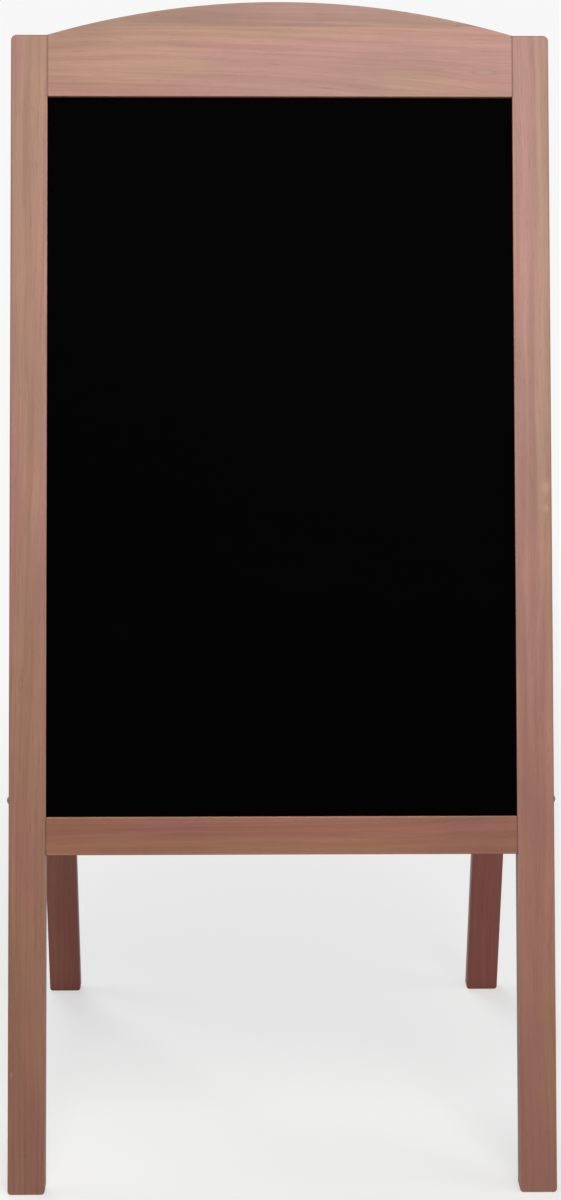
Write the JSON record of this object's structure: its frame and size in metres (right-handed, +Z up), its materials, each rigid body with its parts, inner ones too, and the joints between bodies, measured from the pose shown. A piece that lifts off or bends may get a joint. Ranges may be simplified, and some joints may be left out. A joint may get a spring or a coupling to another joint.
{
  "type": "sandwich board",
  "caption": "Free-standing wooden A-frame chalkboard sign with arched top rails, hinged at the top and held open by folding side stays.",
  "frame": {"origin": "on the floor, midway between the front and rear feet and between the left and right sides", "axes": "+Z up, front frame towards -Y, +X to the right as seen from the front; standing open"},
  "size_m": [0.5656, 0.629, 1.1935],
  "materials": {
    "pine_frame": "stained pine, satin varnish",
    "writing_panel": "hardboard with matte black chalkboard paint",
    "dowel": "plain beech",
    "hinge_steel": "zinc-plated pressed steel",
    "stay_steel": "zinc-plated flat bar",
    "fastener_steel": "zinc-plated, slightly aged"
  },
  "bodies": {
    "front_frame": {"front_left_stile": "pine_frame", "front_right_stile": "pine_frame", "front_top_rail": "pine_frame", "front_arch_board": "pine_frame", "front_bottom_rail": "pine_frame", "front_panel": "writing_panel", "front_dowels": "dowel", "left_hinge_front_leaf": "hinge_steel", "right_hinge_front_leaf": "hinge_steel", "left_hinge_pin": "hinge_steel", "right_hinge_pin": "hinge_steel", "front_hinge_screws": "fastener_steel", "front_stay_bolts": "fastener_steel", "front_stay_washers": "fastener_steel", "front_stay_nuts": "fastener_steel"},
    "rear_frame": {"rear_left_stile": "pine_frame", "rear_right_stile": "pine_frame", "rear_top_rail": "pine_frame", "rear_arch_board": "pine_frame", "rear_bottom_rail": "pine_frame", "rear_panel": "writing_panel", "rear_dowels": "dowel", "left_hinge_rear_leaf": "hinge_steel", "right_hinge_rear_leaf": "hinge_steel", "rear_hinge_screws": "fastener_steel", "rear_stay_bolts": "fastener_steel", "rear_stay_spacers": "fastener_steel", "rear_stay_washers": "fastener_steel", "rear_stay_nuts": "fastener_steel"},
    "left_front_link": {"left_stay_front_link": "stay_steel", "left_stay_front_rivet": "fastener_steel"},
    "left_rear_link": {"left_stay_rear_link": "stay_steel", "left_stay_rear_rivet": "fastener_steel"},
    "right_front_link": {"right_stay_front_link": "stay_steel", "right_stay_front_rivet": "fastener_steel"},
    "right_rear_link": {"right_stay_rear_link": "stay_steel", "right_stay_rear_rivet": "fastener_steel"}
  },
  "joints": [
    {"name": "fold", "type": "hinge", "parent": "front_frame", "child": "rear_frame", "pos_m": [0, 0, 1.17763], "axis": [-1, 0, 0], "range_deg": [0, 27.8]},
    {"name": "left_front_link_turn", "type": "hinge", "parent": "front_frame", "child": "left_front_link", "pos_m": [-0.24, -0.20539, 0.38475], "axis": [1, 0, 0], "range_deg": [0, 73.62]},
    {"name": "left_rear_link_turn", "type": "hinge", "parent": "rear_frame", "child": "left_rear_link", "pos_m": [-0.24, 0.20539, 0.38475], "axis": [-1, 0, 0], "range_deg": [0, 73.62]},
    {"name": "right_front_link_turn", "type": "hinge", "parent": "front_frame", "child": "right_front_link", "pos_m": [0.24, -0.20539, 0.38475], "axis": [1, 0, 0], "range_deg": [0, 73.62]},
    {"name": "right_rear_link_turn", "type": "hinge", "parent": "rear_frame", "child": "right_rear_link", "pos_m": [0.24, 0.20539, 0.38475], "axis": [-1, 0, 0], "range_deg": [0, 73.62]}
  ],
  "couplings": [
    {"joint": "left_front_link_turn", "follows": "fold", "ratio": 2.6481},
    {"joint": "left_rear_link_turn", "follows": "fold", "ratio": 2.6481},
    {"joint": "right_front_link_turn", "follows": "fold", "ratio": 2.6481},
    {"joint": "right_rear_link_turn", "follows": "fold", "ratio": 2.6481}
  ]
}
